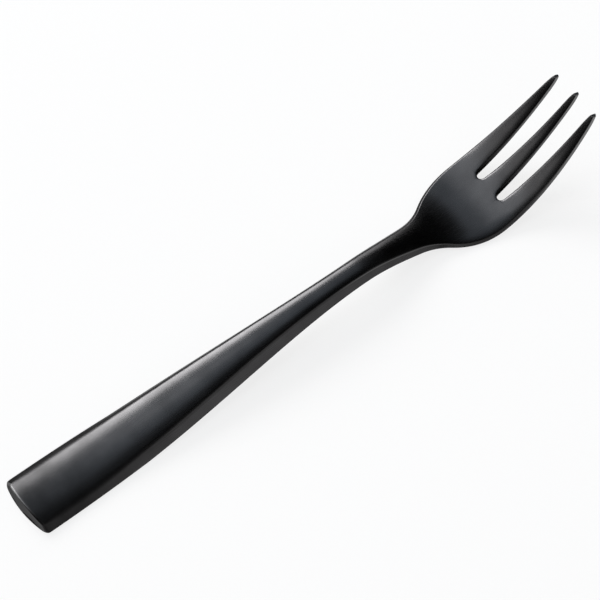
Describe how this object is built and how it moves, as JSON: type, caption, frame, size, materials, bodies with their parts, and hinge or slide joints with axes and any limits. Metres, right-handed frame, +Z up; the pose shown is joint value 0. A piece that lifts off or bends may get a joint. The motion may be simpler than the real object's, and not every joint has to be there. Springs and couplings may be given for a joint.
{
  "type": "pastry fork",
  "caption": "Black coated steel pastry fork with a crowned, tapering handle, a narrow arched neck and an upturned head with pointed tines, for eating cake.",
  "frame": {"origin": "middle of the bounding box, on the table that the fork lies on", "axes": "+X from the butt to the tips, +Y to the fork's left, +Z up from the table, with the fork lying face up"},
  "size_m": [0.1554, 0.0206, 0.0187],
  "materials": {
    "black_steel": "thin black coating with a satin sheen over fine brushing along the length"
  },
  "bodies": {
    "root": {"handle": "black_steel", "neck": "black_steel", "head": "black_steel", "left_tine": "black_steel", "middle_tine": "black_steel", "right_tine": "black_steel"}
  },
  "joints": []
}
